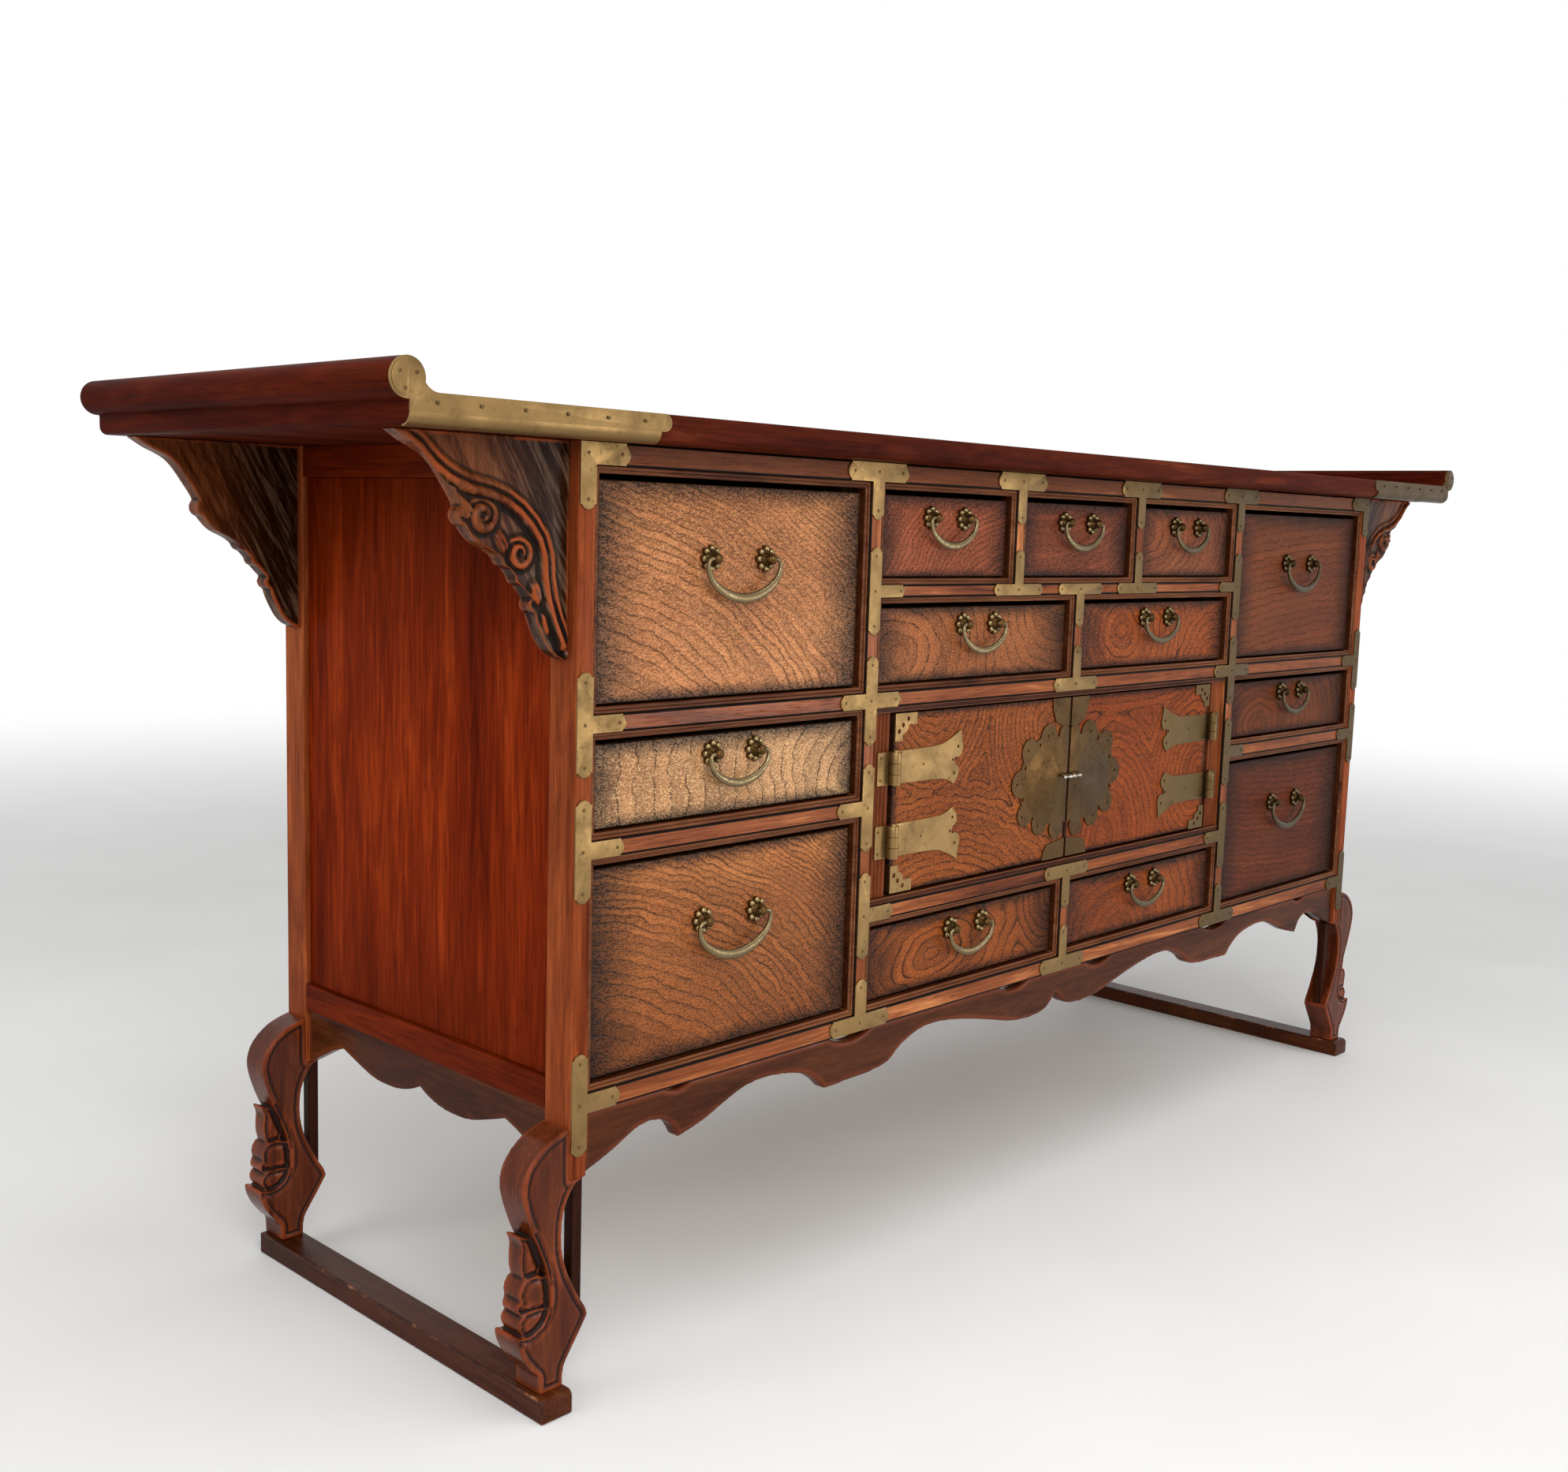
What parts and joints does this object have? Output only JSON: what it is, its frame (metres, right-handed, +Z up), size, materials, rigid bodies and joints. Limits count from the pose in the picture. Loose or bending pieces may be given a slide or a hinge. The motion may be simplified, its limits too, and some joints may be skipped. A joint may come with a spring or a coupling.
{
  "type": "sideboard",
  "caption": "Long low sideboard with an upturned scroll-ended top, a pair of brass-bound doors amid sliding drawers with bail pulls, on carved legs and floor runners.",
  "frame": {"origin": "centre of the overall box, on the floor", "axes": "+Z up, width along X, the drawer fronts face -Y"},
  "size_m": [1.84, 0.489, 0.862],
  "materials": {
    "red_wood": "satin red-brown lacquer",
    "frame_wood": "satin dark brown lacquer",
    "top_wood": "glossy dark red-brown lacquer",
    "front_wood": "satin lacquer over strongly grained wood",
    "inner_wood": "plain unfinished wood",
    "bright_brass": "aged satin brass",
    "dark_brass": "darkened antique brass"
  },
  "bodies": {
    "case": {"corner_posts": "red_wood", "side_and_back_rails": "red_wood", "case_panels": "red_wood", "front_rails": "frame_wood", "front_stiles": "frame_wood", "door_jambs": "frame_wood", "opening_mouldings": "frame_wood", "inner_boards": "inner_wood", "drawer_guides": "inner_wood", "top_board": "top_wood", "top_plates": "bright_brass", "frame_plates": "bright_brass", "corner_brackets": "frame_wood", "aprons": "frame_wood", "legs": "frame_wood", "floor_runners": "frame_wood", "case_hinge_leaves": "bright_brass"},
    "tray_left_top": {"drawer_left_top": "front_wood", "rosettes_left_top": "dark_brass"},
    "pull_left_top": {"bail_left_top": "dark_brass"},
    "tray_left_mid": {"drawer_left_mid": "front_wood", "rosettes_left_mid": "dark_brass"},
    "pull_left_mid": {"bail_left_mid": "dark_brass"},
    "tray_left_low": {"drawer_left_low": "front_wood", "rosettes_left_low": "dark_brass"},
    "pull_left_low": {"bail_left_low": "dark_brass"},
    "tray_right_top": {"drawer_right_top": "front_wood", "rosettes_right_top": "dark_brass"},
    "pull_right_top": {"bail_right_top": "dark_brass"},
    "tray_right_mid": {"drawer_right_mid": "front_wood", "rosettes_right_mid": "dark_brass"},
    "pull_right_mid": {"bail_right_mid": "dark_brass"},
    "tray_right_low": {"drawer_right_low": "front_wood", "rosettes_right_low": "dark_brass"},
    "pull_right_low": {"bail_right_low": "dark_brass"},
    "tray_small_left": {"drawer_small_left": "front_wood", "rosettes_small_left": "dark_brass"},
    "pull_small_left": {"bail_small_left": "dark_brass"},
    "tray_small_mid": {"drawer_small_mid": "front_wood", "rosettes_small_mid": "dark_brass"},
    "pull_small_mid": {"bail_small_mid": "dark_brass"},
    "tray_small_right": {"drawer_small_right": "front_wood", "rosettes_small_right": "dark_brass"},
    "pull_small_right": {"bail_small_right": "dark_brass"},
    "tray_pair_left": {"drawer_pair_left": "front_wood", "rosettes_pair_left": "dark_brass"},
    "pull_pair_left": {"bail_pair_left": "dark_brass"},
    "tray_pair_right": {"drawer_pair_right": "front_wood", "rosettes_pair_right": "dark_brass"},
    "pull_pair_right": {"bail_pair_right": "dark_brass"},
    "tray_low_left": {"drawer_low_left": "front_wood", "rosettes_low_left": "dark_brass"},
    "pull_low_left": {"bail_low_left": "dark_brass"},
    "tray_low_right": {"drawer_low_right": "front_wood", "rosettes_low_right": "dark_brass"},
    "pull_low_right": {"bail_low_right": "dark_brass"},
    "door_left": {"door_left": "front_wood", "door_plates_left": "dark_brass"},
    "door_right": {"door_right": "front_wood", "door_plates_right": "dark_brass"}
  },
  "joints": [
    {"name": "slide_left_top", "type": "slide", "parent": "case", "child": "tray_left_top", "axis": [0, -1, 0], "range_m": [0, 0.3]},
    {"name": "swing_left_top", "type": "hinge", "parent": "tray_left_top", "child": "pull_left_top", "pos_m": [-0.532, -0.208, 0.722], "axis": [-1, 0, 0], "range_deg": [-10, 110]},
    {"name": "slide_left_mid", "type": "slide", "parent": "case", "child": "tray_left_mid", "axis": [0, -1, 0], "range_m": [0, 0.3]},
    {"name": "swing_left_mid", "type": "hinge", "parent": "tray_left_mid", "child": "pull_left_mid", "pos_m": [-0.532, -0.208, 0.55075], "axis": [-1, 0, 0], "range_deg": [-10, 110]},
    {"name": "slide_left_low", "type": "slide", "parent": "case", "child": "tray_left_low", "axis": [0, -1, 0], "range_m": [0, 0.3]},
    {"name": "swing_left_low", "type": "hinge", "parent": "tray_left_low", "child": "pull_left_low", "pos_m": [-0.532, -0.208, 0.40075], "axis": [-1, 0, 0], "range_deg": [-10, 110]},
    {"name": "slide_right_top", "type": "slide", "parent": "case", "child": "tray_right_top", "axis": [0, -1, 0], "range_m": [0, 0.3]},
    {"name": "swing_right_top", "type": "hinge", "parent": "tray_right_top", "child": "pull_right_top", "pos_m": [0.532, -0.208, 0.722], "axis": [-1, 0, 0], "range_deg": [-10, 110]},
    {"name": "slide_right_mid", "type": "slide", "parent": "case", "child": "tray_right_mid", "axis": [0, -1, 0], "range_m": [0, 0.3]},
    {"name": "swing_right_mid", "type": "hinge", "parent": "tray_right_mid", "child": "pull_right_mid", "pos_m": [0.532, -0.208, 0.55075], "axis": [-1, 0, 0], "range_deg": [-10, 110]},
    {"name": "slide_right_low", "type": "slide", "parent": "case", "child": "tray_right_low", "axis": [0, -1, 0], "range_m": [0, 0.3]},
    {"name": "swing_right_low", "type": "hinge", "parent": "tray_right_low", "child": "pull_right_low", "pos_m": [0.532, -0.208, 0.40075], "axis": [-1, 0, 0], "range_deg": [-10, 110]},
    {"name": "slide_small_left", "type": "slide", "parent": "case", "child": "tray_small_left", "axis": [0, -1, 0], "range_m": [0, 0.3]},
    {"name": "swing_small_left", "type": "hinge", "parent": "tray_small_left", "child": "pull_small_left", "pos_m": [-0.235, -0.208, 0.76425], "axis": [-1, 0, 0], "range_deg": [-10, 110]},
    {"name": "slide_small_mid", "type": "slide", "parent": "case", "child": "tray_small_mid", "axis": [0, -1, 0], "range_m": [0, 0.3]},
    {"name": "swing_small_mid", "type": "hinge", "parent": "tray_small_mid", "child": "pull_small_mid", "pos_m": [0, -0.208, 0.76425], "axis": [-1, 0, 0], "range_deg": [-10, 110]},
    {"name": "slide_small_right", "type": "slide", "parent": "case", "child": "tray_small_right", "axis": [0, -1, 0], "range_m": [0, 0.3]},
    {"name": "swing_small_right", "type": "hinge", "parent": "tray_small_right", "child": "pull_small_right", "pos_m": [0.235, -0.208, 0.76425], "axis": [-1, 0, 0], "range_deg": [-10, 110]},
    {"name": "slide_pair_left", "type": "slide", "parent": "case", "child": "tray_pair_left", "axis": [0, -1, 0], "range_m": [0, 0.3]},
    {"name": "swing_pair_left", "type": "hinge", "parent": "tray_pair_left", "child": "pull_pair_left", "pos_m": [-0.176, -0.208, 0.657], "axis": [-1, 0, 0], "range_deg": [-10, 110]},
    {"name": "slide_pair_right", "type": "slide", "parent": "case", "child": "tray_pair_right", "axis": [0, -1, 0], "range_m": [0, 0.3]},
    {"name": "swing_pair_right", "type": "hinge", "parent": "tray_pair_right", "child": "pull_pair_right", "pos_m": [0.176, -0.208, 0.657], "axis": [-1, 0, 0], "range_deg": [-10, 110]},
    {"name": "slide_low_left", "type": "slide", "parent": "case", "child": "tray_low_left", "axis": [0, -1, 0], "range_m": [0, 0.3]},
    {"name": "swing_low_left", "type": "hinge", "parent": "tray_low_left", "child": "pull_low_left", "pos_m": [-0.176, -0.208, 0.33675], "axis": [-1, 0, 0], "range_deg": [-10, 110]},
    {"name": "slide_low_right", "type": "slide", "parent": "case", "child": "tray_low_right", "axis": [0, -1, 0], "range_m": [0, 0.3]},
    {"name": "swing_low_right", "type": "hinge", "parent": "tray_low_right", "child": "pull_low_right", "pos_m": [0.176, -0.208, 0.33675], "axis": [-1, 0, 0], "range_deg": [-10, 110]},
    {"name": "door_swing_left", "type": "hinge", "parent": "case", "child": "door_left", "pos_m": [-0.3125, -0.2065, 0.4795], "axis": [0, 0, -1], "range_deg": [0, 95]},
    {"name": "door_swing_right", "type": "hinge", "parent": "case", "child": "door_right", "pos_m": [0.3125, -0.2065, 0.4795], "axis": [0, 0, 1], "range_deg": [0, 95]}
  ]
}
